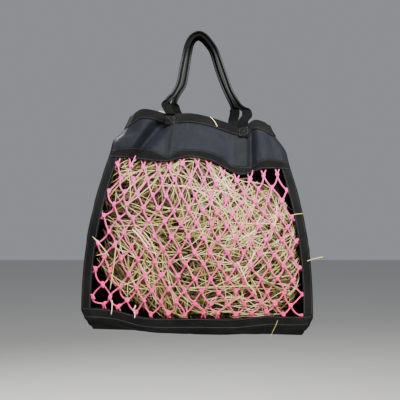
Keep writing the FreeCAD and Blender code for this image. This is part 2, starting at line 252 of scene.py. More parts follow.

# %% [markdown]
# ## The materials
#
# Six cloths, the sewing thread, the pink twine and two finishes for hay. The yoke is a coated fabric
# with a soft blue shine, and its two strips are a greyer cloth. The bag is a plain matt weave, and a
# darker copy of it underneath paints the shade under the bag. The webbing is coarser, and on the
# handles its edges carry a painted highlight. Sheen and roughness are set on the shader itself, and
# only colours and bumps are fed by nodes.

# %% One recipe for every cloth
def new_material(name, roughness, sheen=0.0, specular=0.35):
    material = bpy.data.materials.new(name)
    material.use_nodes = True
    shader = material.node_tree.nodes["Principled BSDF"]
    shader.inputs["Roughness"].default_value = roughness
    shader.inputs["Sheen Weight"].default_value = sheen
    shader.inputs["Sheen Roughness"].default_value = 0.45
    shader.inputs["Specular IOR Level"].default_value = specular
    return material, material.node_tree, shader


def use_group(tree, group, values):
    node = tree.nodes.new("ShaderNodeGroup")
    node.node_tree = group
    for name, value in values.items():
        feed(tree, node.inputs[name], value)
    return node.outputs[0]


def blend_colours(tree, mask, first, second):
    node = tree.nodes.new("ShaderNodeMix")
    node.data_type = "RGBA"
    feed(tree, node.inputs["Factor"], mask)
    for socket, value in (("A", first), ("B", second)):
        target = [s for s in node.inputs if s.name == socket and s.type == "RGBA"][0]
        feed(tree, target, value)
    return [s for s in node.outputs if s.type == "RGBA"][0]


def bump(tree, height, distance, strength, under=None):
    node = tree.nodes.new("ShaderNodeBump")
    node.inputs["Distance"].default_value = distance
    node.inputs["Strength"].default_value = strength
    tree.links.new(height, node.inputs["Height"])
    if under is not None:
        tree.links.new(under, node.inputs["Normal"])
    return node.outputs[0]


def places(tree):
    """The cloth's own UV map, in metres, and the object's coordinates."""
    uv = tree.nodes.new("ShaderNodeUVMap")
    uv.uv_map = "UVMap"
    spot = tree.nodes.new("ShaderNodeTexCoord")
    return uv.outputs[0], spot.outputs["Object"]


def rise_between(tree, spot, start, full):
    """0 at the height start and 1 at the height full."""
    split = tree.nodes.new("ShaderNodeSeparateXYZ")
    tree.links.new(spot, split.inputs[0])
    return share_between(tree, split.outputs["Z"], start, full)


# A strap's selvedges get a painted highlight from its first height, fully at the second, and the same
# down from its top.
HIGHLIGHT_BETWEEN = ((-0.165, -0.135), (-0.022, -0.052))


def cloth(name, dark, light, dusty, pattern, values, depth, finish, dust_amount, selvedge_highlight=None):
    """A woven finish: pattern gives its threads, and dust lies over it in patches. The selvedge colour
    is a painted highlight, paler, along a strap's two edges. finish is its (roughness, sheen, specular
    level)."""
    material, tree, shader = new_material(name, *finish)
    uv, spot = places(tree)
    height = use_group(tree, pattern, {"UV": uv, **values})
    threads = blend_colours(tree, height, dark, light)
    mask = use_group(tree, dust, {"Vector": spot, "Amount": dust_amount})
    colour = blend_colours(tree, mask, threads, dusty)
    # A painted highlight: the strap's two edges are blended towards the paler selvedge colour.
    if selvedge_highlight is not None:
        edge_light = use_group(tree, edge_highlight, {"UV": uv})
        for start, full in HIGHLIGHT_BETWEEN:
            edge_light = calc(tree, "MULTIPLY", edge_light, rise_between(tree, spot, start, full))
        colour = blend_colours(tree, edge_light, colour, selvedge_highlight)
    tree.links.new(colour, shader.inputs["Base Color"])
    creases = noise_texture(tree, spot, 38.0, 4.0)
    soft = bump(tree, creases.outputs[0], 0.004, 0.35)
    tree.links.new(bump(tree, height, depth, 0.7, soft), shader.inputs["Normal"])
    return material


bag_cloth = cloth(
    "bag_cloth", (0.003, 0.003, 0.003, 1), (0.011, 0.011, 0.012, 1), (0.026, 0.026, 0.024, 1),
    weave, {"Threads per metre": 1100.0}, 0.0004, (0.66, 0.02, 0.09), 0.30,
)
# A darker copy of the bag's cloth for the base: its darkness is painted shade for the underside.
base_shade_weave = cloth(
    "base_shade_weave", (0.001, 0.001, 0.001, 1), (0.003, 0.003, 0.003, 1), (0.007, 0.007, 0.006, 1),
    weave, {"Threads per metre": 1100.0}, 0.0004, (0.85, 0.0, 0.02), 0.30,
)
yoke_cloth = cloth(
    "yoke_cloth", (0.005, 0.006, 0.008, 1), (0.013, 0.0145, 0.019, 1), (0.026, 0.028, 0.034, 1),
    weave, {"Threads per metre": 1500.0}, 0.0002, (0.50, 0.01, 0.07), 0.30,
)
webbing = cloth(
    "webbing", (0.002, 0.002, 0.002, 1), (0.012, 0.013, 0.013, 1), (0.026, 0.026, 0.024, 1),
    ribs, {}, 0.0006, (0.80, 0.02, 0.05), 0.40,
)
# The handles' webbing: its selvedges carry a painted highlight between the heights set above.
strap_webbing = cloth(
    "strap_webbing", (0.002, 0.002, 0.002, 1), (0.009, 0.010, 0.010, 1), (0.018, 0.018, 0.017, 1),
    ribs, {}, 0.0006, (0.80, 0.02, 0.05), 0.40, selvedge_highlight=(0.042, 0.046, 0.044, 1),
)
patch_cloth = cloth(
    "patch_cloth", (0.005, 0.006, 0.007, 1), (0.013, 0.015, 0.017, 1), (0.026, 0.028, 0.029, 1),
    weave, {"Threads per metre": 1300.0}, 0.0003, (0.46, 0.01, 0.08), 0.35,
)
thread, tree, shader = new_material("thread", 0.6, 0.2)
uv, spot = places(tree)
height = use_group(tree, twist, {"UV": uv, "Lay": 0.002})
tree.links.new(
    blend_colours(tree, height, (0.020, 0.021, 0.022, 1), (0.085, 0.088, 0.088, 1)),
    shader.inputs["Base Color"],
)
tree.links.new(bump(tree, height, 0.0002, 0.6), shader.inputs["Normal"])
print("cloths:", [m.name for m in (bag_cloth, base_shade_weave, yoke_cloth, patch_cloth, webbing, strap_webbing)])

# %% Pink twine, deeper towards the bottom of the net
twine, tree, shader = new_material("net_twine", 0.28, 0.10, 0.55)
uv, spot = places(tree)
height = use_group(tree, twist, {"UV": uv})
DEEP_PINK_Z, PALE_PINK_Z = -0.66, -0.36
fade = rise_between(tree, spot, DEEP_PINK_Z, PALE_PINK_Z)
patches = noise_texture(tree, spot, 14.0)
tone = calc(tree, "ADD", fade, calc(tree, "SUBTRACT", patches.outputs[0], 0.5))
body_pink = blend_colours(tree, tone, (0.94, 0.018, 0.20, 1), (1.00, 0.100, 0.46, 1))
# Darker in the grooves between the plies: a painted shade.
tree.links.new(
    blend_colours(tree, calc(tree, "POWER", height, 0.6), (0.42, 0.010, 0.07, 1), body_pink),
    shader.inputs["Base Color"],
)
tree.links.new(bump(tree, height, 0.0009, 0.8), shader.inputs["Normal"])

# %% Hay: one colour for each stalk, from an attribute on the mesh
hay_stalk, tree, shader = new_material("hay_stalk", 0.50, 0.05, 0.40)
tint = tree.nodes.new("ShaderNodeAttribute")
tint.attribute_name = "tint"
ramp = tree.nodes.new("ShaderNodeValToRGB")
# The near-black end of this ramp paints the shade on the deep stalks; the pale end is the colour of straw.
stops = (
    (0.00, (0.012, 0.007, 0.003, 1)),
    (0.18, (0.080, 0.038, 0.010, 1)),
    (0.38, (0.108, 0.104, 0.018, 1)),
    (0.58, (0.262, 0.222, 0.046, 1)),
    (0.80, (0.650, 0.510, 0.150, 1)),
    (1.00, (1.000, 0.850, 0.450, 1)),
)
while len(ramp.color_ramp.elements) < len(stops):
    ramp.color_ramp.elements.new(0.5)
for element, (place, colour) in zip(ramp.color_ramp.elements, stops):
    element.position = place
    element.color = colour
tree.links.new(tint.outputs["Fac"], ramp.inputs["Fac"])
_, spot = places(tree)
fibres = noise_texture(tree, spot, 260.0)
streaks = calc(tree, "MULTIPLY", fibres.outputs[0], 0.3)
tree.links.new(
    blend_colours(tree, streaks, ramp.outputs[0], (0.10, 0.085, 0.03, 1)), shader.inputs["Base Color"]
)
tree.links.new(bump(tree, fibres.outputs[0], 0.0006, 0.5), shader.inputs["Normal"])

# A near-black finish for the lump inside the hay: painted shade for its depths, varied by noise.
hay_shade, tree, shader = new_material("hay_shade", 0.9, 0.0, 0.1)
_, spot = places(tree)
shade_noise = noise_texture(tree, spot, 60.0, 8.0)
tree.links.new(
    blend_colours(tree, shade_noise.outputs[0], (0.002, 0.0015, 0.001, 1), (0.022, 0.015, 0.006, 1)),
    shader.inputs["Base Color"],
)
tree.links.new(bump(tree, shade_noise.outputs[0], 0.006, 1.0), shader.inputs["Normal"])
print("materials:", len(bpy.data.materials))

# %% [markdown]
# ## The shape that every front piece follows
#
# The CAD says how the bag hangs: how wide and how deep it is at each level, and how far it leans.
# The same few sizes are repeated here in metres, with the real cloth's waves and folds on top.
# A level is a height on the bag's centre line. Because every front piece asks this one function
# for its place, the yoke, its tapes, the net and the hay behind it all stay together.

# %% Sizes of the bag, and its outline at each level
MOUTH, HEADER_TOP, HEADER_BOTTOM = -0.199, -0.2935, -0.315
BASE_FRONT, BASE_BACK = -0.691, -0.733
BINDING, TAPE_WIDTH, STRAP_WIDTH = 0.022, 0.025, 0.025
FABRIC, TAPE = 0.0015, 0.0018
BACK_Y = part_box("back_panel")[1].y
MOUTH_HALF = (0.167, 0.177)
BASE_HALF = (0.280, 0.276)
FLARE = (2.2, 2.6)
SHOULDER, SHOULDER_LEVEL = (0.011, 0.009), -0.258  # how far the yoke's sides swell past the CAD's
LEAN_AT_MOUTH, LEAN_AT_BASE = 0.10, 0.03  # the slope down to the right
FRONT_AT_MOUTH, FRONT_REACH = -0.040, 0.072
BULGE, SAG = 0.044, 0.016
SIDES = ((0, "left", -1.0), (1, "right", 1.0))
CLEARANCE = 0.0003  # between pieces sewn side by side


def smooth(low, high, value):
    t = min(1.0, max(0.0, (value - low) / (high - low)))
    return t * t * (3.0 - 2.0 * t)


def share_down(level):
    return (MOUTH - level) / (MOUTH - BASE_FRONT)


def eased(share, power):
    return 1.0 - max(0.0, 1.0 - share) ** power


def edge_x(side, level):
    """side is 0 for the left corner and 1 for the right one."""
    half = MOUTH_HALF[side] + (BASE_HALF[side] - MOUTH_HALF[side]) * eased(share_down(level), FLARE[side])
    half += SHOULDER[side] * math.exp(-(((level - SHOULDER_LEVEL) / 0.034) ** 2))
    half -= 0.008 * smooth(BASE_FRONT + 0.020, BASE_FRONT - 0.002, level)
    return half if side else -half


def lean(level):
    return LEAN_AT_MOUTH + (LEAN_AT_BASE - LEAN_AT_MOUTH) * min(1.0, share_down(level))


def plain_front(x, level):
    """The front without waves or folds: its y and z, and how far x is off the middle, -1 to 1."""
    left, right = edge_x(0, level), edge_x(1, level)
    off = (2.0 * x - left - right) / (right - left)
    down = min(1.0, max(0.0, share_down(level)))
    bulge = 0.004 + BULGE * math.sin(math.pi * down ** 0.85)
    y = FRONT_AT_MOUTH - FRONT_REACH * eased(share_down(level), 1.8) - bulge * (1.0 - off * off)
    z = level - lean(level) * x - SAG * max(0.0, share_down(level)) ** 2 * (1.0 - off * off)
    return y, z, off


gap = abs(plain_front(0.0, -0.5)[0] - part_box("feeding_net")[0].y)
print("the formula's front is", round(gap * 1000, 1), "mm from the net's own box")

# %% Waves along the tapes and folds in the yoke
# A wave is a line of chosen (x, lift) points. A fold is (middle, reach, size, drift), where drift
# is how far it moves sideways between the mouth and the net. All are in metres.
MOUTH_WAVE = ((-0.185, -0.024), (-0.162, -0.010), (-0.140, 0.006), (-0.110, 0.007), (-0.075, 0.001),
              (-0.020, 0.008), (0.020, 0.005), (0.060, -0.003), (0.105, -0.013), (0.122, -0.004),
              (0.138, 0.008), (0.160, 0.006), (0.182, -0.004))
YOKE_HEM_WAVE = ((-0.212, -0.001), (-0.170, 0.007), (-0.125, 0.010), (-0.092, 0.000), (-0.072, -0.007),
                 (-0.048, 0.009), (-0.010, 0.015), (0.030, 0.012), (0.062, 0.002), (0.082, -0.014),
                 (0.125, -0.014), (0.150, 0.002), (0.172, 0.009), (0.220, 0.005))
NET_HEAD_WAVE = ((-0.221, 0.001), (-0.170, 0.002), (-0.120, 0.000), (-0.074, 0.001), (-0.045, 0.010),
                 (-0.015, 0.017), (0.033, 0.011), (0.080, -0.010), (0.103, -0.016), (0.134, -0.006),
                 (0.156, 0.003), (0.215, 0.007))
BASE_WAVE = ((-0.280, 0.001), (-0.205, 0.006), (-0.125, -0.005), (0.000, 0.000), (0.090, 0.001),
             (0.165, 0.006), (0.230, 0.001), (0.276, 0.000))
FOLDS = ((-0.073, 0.016, -0.034, -0.078), (-0.112, 0.020, 0.008, -0.060), (-0.052, 0.007, 0.004, -0.020),
         (0.131, 0.009, -0.021, -0.002), (0.155, 0.013, 0.008, 0.008), (0.176, 0.006, -0.006, 0.016),
         (0.066, 0.020, -0.007, 0.010), (0.010, 0.030, 0.004, -0.020))


print("waves of", len(MOUTH_WAVE), len(YOKE_HEM_WAVE), len(NET_HEAD_WAVE), "and", len(BASE_WAVE), "points")

# %% A smooth wave, and how it lifts the cloth
def wave(x, points):
    """A smooth line through the points, held level past both ends."""
    if x <= points[0][0]:
        return points[0][1]
    for i in range(1, len(points)):
        if x > points[i][0]:
            continue
        (xa, ya), (xb, yb) = points[i - 1], points[i]
        before, after = points[max(0, i - 2)], points[min(len(points) - 1, i + 1)]
        span = xb - xa
        slope_a = (yb - before[1]) / (xb - before[0]) * span
        slope_b = (after[1] - ya) / (after[0] - xa) * span
        t = (x - xa) / span
        return (
            (2 * t ** 3 - 3 * t ** 2 + 1) * ya + (t ** 3 - 2 * t ** 2 + t) * slope_a
            + (3 * t ** 2 - 2 * t ** 3) * yb + (t ** 3 - t ** 2) * slope_b
        )
    return points[-1][1]


def lift(x, level):
    """How far the hanging cloth's waves raise a point."""
    mouth, hem = wave(x, MOUTH_WAVE), wave(x, YOKE_HEM_WAVE)
    if level > HEADER_TOP:
        return hem + (mouth - hem) * smooth(HEADER_TOP, MOUTH - BINDING, level)
    head, base = wave(x, NET_HEAD_WAVE), wave(x, BASE_WAVE)
    if level > HEADER_BOTTOM:
        return head + (hem - head) * smooth(HEADER_BOTTOM, HEADER_TOP, level)
    at_head = smooth(HEADER_BOTTOM - 0.12, HEADER_BOTTOM, level)
    at_base = 1.0 - smooth(BASE_FRONT + TAPE_WIDTH, BASE_FRONT + 0.10, level)
    return at_head * head + at_base * base

# %% How folds and hay push the cloth out
def swell(x, level):
    """How far folds and hay push a point out, towards the viewer."""
    down = (MOUTH - level) / (MOUTH - HEADER_BOTTOM)
    folds = sum(
        size * math.exp(-(((x - middle - drift * min(1.0, max(0.0, down))) / reach) ** 2))
        for middle, reach, size, drift in FOLDS
    )
    reach_down = 1.0 - smooth(1.0, 1.35, down)
    lumps = noise.noise(Vector((x * 11.0, level * 11.0, 2.7))) * 0.006
    crumple = noise.noise(Vector((x * 34.0 + level * 26.0, level * 24.0, 7.1))) * 0.0030
    crumple += noise.noise(Vector((x * 85.0 - level * 50.0, level * 60.0, 3.3))) * 0.0011
    seam = max(0.0, 1.0 - abs(level - MOUTH + BINDING + 0.006) / 0.010)
    crumple += 0.0009 * seam * math.sin(x * 900.0 + 3.0 * math.sin(x * 130.0))
    in_yoke = smooth(-0.05, 0.12, down) * reach_down
    reach_down *= 0.2 + 0.8 * smooth(0.05, 0.32, down)
    return folds * reach_down + lumps * smooth(0.7, 1.3, down) + crumple * in_yoke


def front(x, level, out=0.0):
    """A point of the hanging front, out metres in front of the cloth's face."""
    y, z, off = plain_front(x, level)
    turn_in = 0.012 * smooth(0.90, 1.0, abs(off)) ** 2
    return Vector((x, y - swell(x, level) * (1.0 - off ** 6) - out + turn_in, z + lift(x, level)))


print("middle of the header tape:", [round(c, 3) for c in front(0.0, HEADER_TOP)])

# %% [markdown]
# ## Laying cloth
#
# A panel of cloth starts as a flat grid. We move each of its points to where the shape function
# wants it, scale its UV map to the size it was cut to, and give it its thickness with Solidify.
# The finished mesh stays in world places with its object at the origin, as a CAD node's does.

# %% Helpers that finish a piece
def select_only(obj):
    bpy.ops.object.select_all(action="DESELECT")
    obj.select_set(True)
    bpy.context.view_layer.objects.active = obj


def apply_modifiers(obj):
    select_only(obj)
    for modifier in list(obj.modifiers):
        bpy.ops.object.modifier_apply(modifier=modifier.name)


def finish_piece(obj, material, body, replaced=()):
    obj.data.materials.clear()
    obj.data.materials.append(material)
    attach(obj, body)
    if replaced:
        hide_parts(*replaced)
    return obj

# %% Lay a grid of cloth and give it its thickness
def lay_cloth(name, point, cut, columns, rows, outward, thickness=FABRIC):
    """point(s, t) places a grid cut to (width, length); outward is roughly its face's direction."""
    bpy.ops.mesh.primitive_grid_add(x_subdivisions=columns, y_subdivisions=rows, size=2.0)
    obj = bpy.context.object
    obj.name = name
    mesh = obj.data
    for vertex in mesh.vertices:
        vertex.co = point((vertex.co.x + 1.0) / 2.0, (1.0 - vertex.co.y) / 2.0)
    for loop in mesh.uv_layers[0].data:
        loop.uv = (loop.uv[0] * cut[0], loop.uv[1] * cut[1])
    mesh.uv_layers[0].name = "UVMap"
    mesh.update()
    facing = sum((p.normal * p.area for p in mesh.polygons), Vector())
    if facing.dot(Vector(outward)) < 0:
        select_only(obj)
        bpy.ops.object.mode_set(mode="EDIT")
        bpy.ops.mesh.select_all(action="SELECT")
        bpy.ops.mesh.flip_normals()
        bpy.ops.object.mode_set(mode="OBJECT")
    solid = obj.modifiers.new("thickness", "SOLIDIFY")
    solid.thickness = thickness
    solid.offset = -1.0
    rim = obj.modifiers.new("soft_rim", "BEVEL")
    rim.width = thickness * 0.3
    rim.segments = 2
    rim.limit_method = "ANGLE"
    rim.angle_limit = math.radians(60)
    apply_modifiers(obj)
    bpy.ops.object.shade_smooth_by_angle(angle=math.radians(50))
    return obj

# %% A panel or tape that follows the front
def front_cloth(name, left, right, top, bottom, out, columns, rows, thickness=FABRIC):
    """A panel or tape on the front between two edges, each a function of the level."""

    def point(s, t):
        level = top + (bottom - top) * t
        return front(left(level) + (right(level) - left(level)) * s, level, out)

    middle = (top + bottom) / 2.0
    cut = (right(middle) - left(middle), top - bottom)
    return lay_cloth(name, point, cut, columns, rows, (0, -1, 0), thickness)


def edge(side, inset=0.0):
    """One edge of the front, inset metres towards the middle, as a function of the level."""
    return lambda level: edge_x(side, level) + (-inset if side else inset)


left_edge, right_edge = edge(0), edge(1)

# %% [markdown]
# ## The yoke, its binding and the net's frame of tapes
#
# The yoke is the coated cloth across the top of the front. Its top edge is bound with webbing
# folded over it, and four webbing tapes frame the net. Each tape lies a little in front of the
# cloth's face, so that nothing shows through it.

# %% Yoke and the two strips under the handle ends
yoke = front_cloth("front_yoke_cloth", left_edge, right_edge, MOUTH, HEADER_TOP - 0.011, 0.0, 150, 44)
finish_piece(yoke, yoke_cloth, "bag", ["front_yoke"])

STRIP_OUT, STRIP_THICKNESS = 0.0013, 0.0010
for name, low, high in (("left", -0.078, -0.054), ("right", 0.090, 0.120)):
    node = f"front_{name}_reinforcement"
    strip = front_cloth(
        f"{node}_strip", lambda level, x=low: x, lambda level, x=high: x,
        MOUTH - BINDING - CLEARANCE, HEADER_TOP + CLEARANCE, STRIP_OUT, 10, 24, STRIP_THICKNESS,
    )
    finish_piece(strip, patch_cloth, "bag", [node])

# %% Mouth binding: webbing folded over the top edge
OVER = 0.0021  # the binding's outer face above the cloth
WRAP = (BINDING, 0.016, 0.008, 0.002, -0.0013, -OVER)  # depths below the mouth, up one side


def folded_binding(name, skin, cut, outward, columns=90):
    """skin(s, depth, out) is the cloth; the binding runs down its face, over and down inside."""
    reach = WRAP + WRAP[::-1]
    stand = (OVER, OVER, OVER, OVER, OVER * 0.8, OVER * 0.3)
    stand += tuple(-FABRIC - value for value in reversed(stand))

    def point(s, t):
        row = min(len(reach) - 1, int(round(t * (len(reach) - 1))))
        return skin(s, reach[row], stand[row])

    return lay_cloth(name, point, cut, columns, len(reach) - 1, outward, TAPE * 0.9)


def front_skin(s, depth, out):
    level = MOUTH - depth
    x = left_edge(level) + (right_edge(level) - left_edge(level)) * s
    return front(x, level, out)


binding = folded_binding("front_mouth_binding_webbing", front_skin, (0.344, 0.048), (0, -1, 0), 130)
finish_piece(binding, webbing, "bag", ["front_mouth_binding"])

# %% Header tape, side tapes and bottom tape
TAPE_OUT, SIDE_TAPE_OUT = 0.0023, 0.0021
BOTTOM_TAPE_TOP = BASE_FRONT + TAPE_WIDTH
header = front_cloth(
    "net_header_webbing", left_edge, right_edge, HEADER_TOP, HEADER_BOTTOM, TAPE_OUT, 150, 8, TAPE
)
finish_piece(header, webbing, "bag", ["net_header_tape"])

for side, name, sign in SIDES:
    tape_left, tape_right = (edge(1, TAPE_WIDTH), edge(1)) if side else (edge(0), edge(0, TAPE_WIDTH))
    side_tape = front_cloth(
        f"{name}_net_webbing", tape_left, tape_right, HEADER_BOTTOM - CLEARANCE,
        BOTTOM_TAPE_TOP + CLEARANCE, SIDE_TAPE_OUT, 8, 90, TAPE,
    )
    finish_piece(side_tape, webbing, "bag", [f"{name}_net_tape"])

bottom_tape = front_cloth(
    "bottom_net_webbing", left_edge, right_edge, BOTTOM_TAPE_TOP, BASE_FRONT - TAPE,
    TAPE_OUT, 150, 8, TAPE,
)
finish_piece(bottom_tape, webbing, "bag", ["bottom_net_tape"])
print("front pieces laid")

# %% [markdown]
# ## Gussets, base and back
#
# The side gussets run from the front corners back to the wall, and fold inwards a little at the
# mouth where nothing holds them out. The base hangs as a shallow belly between the front and back
# seams. The back lies on the wall, so it is flat but for soft dents between its seams.

# %% Side gussets and their bindings
REAR_INSET = 0.006  # how far the back's seams lie inside the front's corners
REAR_Y = BACK_Y - 0.0018


def gusset_skin(side, s, depth, out):
    """s runs from the front corner to the back; depth is the share of the way down."""
    front_level = MOUTH + depth * (BASE_FRONT - MOUTH)
    back_level = MOUTH + depth * (BASE_BACK - MOUTH)
    sign = 1.0 if side else -1.0
    start = front(edge_x(side, front_level), front_level) - Vector((sign * 0.0004, 0.0009, 0))
    rear_x = edge_x(side, back_level) - sign * REAR_INSET
    rear = Vector((rear_x, REAR_Y, back_level - lean(back_level) * rear_x))
    point = start + (rear - start) * s
    down = min(1.0, max(0.0, depth))
    arch = 4.0 * s * (1.0 - s)
    pinch = 0.013 * math.exp(-((depth / 0.16) ** 2)) * math.exp(-(((s - 0.45) / 0.22) ** 2))
    crease = noise.noise(Vector((s * 3.0, depth * 14.0, 5.0 + side))) * 0.004 * arch
    point.x += sign * (0.007 * math.sin(math.pi * down) * arch - pinch + crease + out)
    return point


TRIM_FROM, TRIM_TO = 0.036, 0.945  # the binding's share of the gusset's depth
for side, name, sign in SIDES:
    outward = (sign, 0, 0)
    gusset = lay_cloth(
        f"{name}_gusset_cloth", lambda s, t, k=side: gusset_skin(k, s, t, 0.0), (0.125, 0.53), 40, 110,
        outward,
    )
    finish_piece(gusset, bag_cloth, "bag", [f"{name}_gusset"])

    def bound_edge(s, depth, out, k=side):
        inner = TRIM_FROM + (TRIM_TO - TRIM_FROM) * s
        point = gusset_skin(k, inner, max(0.0, depth) / (MOUTH - BASE_FRONT), out)
        point.z += max(0.0, -depth)
        return point

    trim = folded_binding(f"{name}_mouth_binding_webbing", bound_edge, (0.068, 0.048), outward, 26)
    finish_piece(trim, webbing, "bag", [f"{name}_mouth_binding"])

# %% Base
def base_skin(s, t):
    x_front = edge_x(0, BASE_FRONT) + (edge_x(1, BASE_FRONT) - edge_x(0, BASE_FRONT)) * s
    start = front(x_front, BASE_FRONT)
    left, right = edge_x(0, BASE_BACK) + REAR_INSET, edge_x(1, BASE_BACK) - REAR_INSET
    x_rear = left + (right - left) * s
    rear = Vector((x_rear, REAR_Y, BASE_BACK - lean(BASE_BACK) * x_rear))
    point = start + (rear - start) * t
    off = 2.0 * s - 1.0
    belly = 0.007 * 4.0 * t * (1.0 - t) * (1.0 - off * off)
    dents = noise.noise(Vector((s * 7.0, t * 3.0, 9.0))) * 0.006 * 4.0 * t * (1.0 - t)
    point.z -= belly + dents + TAPE
    return point


base = lay_cloth("base_cloth", base_skin, (0.556, 0.15), 120, 34, (0, 0, -1))
finish_piece(base, base_shade_weave, "bag", ["base_panel"])

# %% Back panel and its binding
def back_skin(s, t, y):
    level = MOUTH + t * (BASE_BACK - MOUTH)
    left, right = edge_x(0, level) + REAR_INSET, edge_x(1, level) - REAR_INSET
    x = left + (right - left) * s
    return Vector((x, y, level - lean(level) * x))


def back_cloth_skin(s, t):
    binding_share = BINDING / (MOUTH - BASE_BACK)
    inset = OVER * (1.0 - smooth(binding_share * 0.9, binding_share * 1.15, t))
    sides = min(1.0, 14.0 * s * (1.0 - s)) * min(1.0, 14.0 * t * (1.0 - t))
    dent = (noise.noise(Vector((s * 4.0, t * 6.0, 12.0))) + 0.55) * 0.007 * sides
    pulls = abs(noise.noise(Vector((s * 16.0, t * 2.5, 3.0)))) * 0.004 * sides * (1.0 - t)
    return back_skin(s, t, BACK_Y - inset - max(0.0, dent) - pulls)


back = lay_cloth("back_panel_cloth", back_cloth_skin, (0.54, 0.53), 90, 90, (0, 1, 0))
finish_piece(back, bag_cloth, "bag", ["back_panel"])


def back_edge(s, depth, out):
    point = back_skin(s, 0.0, BACK_Y - OVER + out)
    point.z -= depth
    return point


trim = folded_binding("back_mouth_binding_webbing", back_edge, (0.332, 0.048), (0, 1, 0), 100)
finish_piece(trim, webbing, "bag", ["back_mouth_binding"])

# %% Bound seams inside the back corners and along the base
def seam_strip(name, point, cut, columns, rows, node):
    strip = lay_cloth(name, point, cut, columns, rows, (0, -1, 0), TAPE)
    finish_piece(strip, webbing, "bag", [node])


SEAM_Y = BACK_Y - FABRIC - CLEARANCE - TAPE
for side, name, sign in SIDES:

    def seam_point(s, t, k=side, d=sign):
        level = (MOUTH - 0.03) + t * (BASE_BACK + 0.016 - MOUTH + 0.03)
        x = edge_x(k, level) - d * (0.0087 + 0.010 * s)
        return Vector((x, SEAM_Y - 0.008, level - lean(level) * x))

    seam_strip(f"{name}_seam_webbing", seam_point, (0.010, 0.5), 4, 60, f"{name}_back_seam_binding")


def base_seam_point(s, t):
    level = BASE_BACK + 0.004 + 0.010 * (1.0 - t)
    x = edge_x(0, level) + 0.010 + (edge_x(1, level) - edge_x(0, level) - 0.020) * s
    return Vector((x, SEAM_Y, level - lean(level) * x))


seam_strip("base_seam_webbing", base_seam_point, (0.53, 0.010), 70, 4, "back_base_seam_binding")

# %% [markdown]
# ## Making many small things at once
#
# Twine strands, knots, stitches and hay stalks are all thin tubes. One small class collects their
# points and faces, so that hundreds of them become one mesh. Each tube carries a UV map that runs
# round and along it, for the twist, and can carry a tint for its colour, which on deep hay stalks also
# paints their shade.

# %% A collector of tubes
def new_object(name, points, faces):
    mesh = bpy.data.meshes.new(name)
    mesh.from_pydata(points, [], faces)
    obj = bpy.data.objects.new(name, mesh)
    bpy.context.collection.objects.link(obj)
    return obj


class Tubes:
    def __init__(self):
        self.points, self.faces, self.uvs, self.tints = [], [], [], []

    def add(self, path, radii, sides=6, flat=1.0, tint=0.5, facing=Vector((0, -1, 0))):
        """A closed tube along path. flat under 1 squashes it into a blade that lies to facing."""
        first = len(self.points)
        travelled = 0.0
        for i, spot in enumerate(path):
            ahead = path[min(i + 1, len(path) - 1)] - path[max(i - 1, 0)]
            ahead = ahead.normalized() if ahead.length > 1e-9 else Vector((0, 0, 1))
            across = ahead.cross(facing)
            across = across.normalized() if across.length > 1e-6 else ahead.orthogonal().normalized()
            thick = across.cross(ahead)
            if i:
                travelled += (spot - path[i - 1]).length
            for k in range(sides):
                angle = 2.0 * math.pi * k / sides
                offset = across * math.cos(angle) + thick * (math.sin(angle) * flat)
                self.points.append(spot + offset * radii[i])
                self.tints.append(tint)
            if not i:
                continue
            low = first + (i - 1) * sides
            back = travelled - (spot - path[i - 1]).length
            for k in range(sides):
                n = (k + 1) % sides
                self.faces.append((low + k, low + n, low + sides + n, low + sides + k))
                a, b = k / sides, (k + 1) / sides
                self.uvs += [(a, back), (b, back), (b, travelled), (a, travelled)]
        last = first + (len(path) - 1) * sides
        self.faces.append(tuple(first + k for k in reversed(range(sides))))
        self.faces.append(tuple(last + k for k in range(sides)))
        self.uvs += [(k / sides, 0.0) for k in range(2 * sides)]

    def build(self, name):
        obj = new_object(name, [tuple(p) for p in self.points], self.faces)
        mesh = obj.data
        layer = mesh.uv_layers.new(name="UVMap")
        layer.data.foreach_set("uv", [c for uv in self.uvs for c in uv])
        tints = mesh.attributes.new("tint", "FLOAT", "POINT")
        tints.data.foreach_set("value", self.tints)
        mesh.update()
        select_only(obj)
        bpy.ops.object.mode_set(mode="EDIT")
        bpy.ops.mesh.select_all(action="SELECT")
        bpy.ops.mesh.normals_make_consistent(inside=False)
        bpy.ops.object.mode_set(mode="OBJECT")
        bpy.ops.object.shade_smooth_by_angle(angle=math.radians(75))
        print(name, len(self.faces), "faces")
        return obj


def curve_through(a, b, c, count):
    """Points of a bend from a to c that leans towards b."""
    return [a.lerp(b, t).lerp(b.lerp(c, t), t) for t in (i / (count - 1.0) for i in range(count))]

# %% [markdown]
# ## The net
#
# The net is knotted row by row, and each row hangs half a mesh off the last. The knots are where
# the work shows, so one knot is modelled well: three turns of twine drawn tight round each other.
# It is then copied to every crossing with a small turn of its own. The strands between two knots
# bow a little, because the hay pushes them and the twine is slack.

# %% Where the knots are
ROWS, COLUMNS = 12, 13
MESHES_ACROSS = 12.75
FIRST_ROW, ROW_PITCH = -0.331, 0.0305
TWINE_RADIUS = 0.0019
NET_OUT = -0.0022
chance = random.Random(11)


def knot_place(row, column):
    """Even rows start by the left tape and odd rows half a mesh further in."""
    level = FIRST_ROW - ROW_PITCH * row + 0.005 * max(0.0, row - 9.0) ** 1.15
    start = 0.16 if row % 2 == 0 else 0.66
    share = (column + start) / MESHES_ACROSS
    left = edge_x(0, level) + TAPE_WIDTH
    right = edge_x(1, level) - TAPE_WIDTH
    corner = smooth(7.0, 11.0, row) * (1.0 - smooth(0.05, 0.28, min(share, 1.0 - share)))
    uneven = 0.0032 + 0.004 * corner
    x = left + (right - left) * share + chance.uniform(-1, 1) * uneven
    level += chance.uniform(-1, 1) * uneven - 0.006 * corner
    out = NET_OUT + chance.uniform(0.0, 0.003)
    return front(x, level, out), x, level


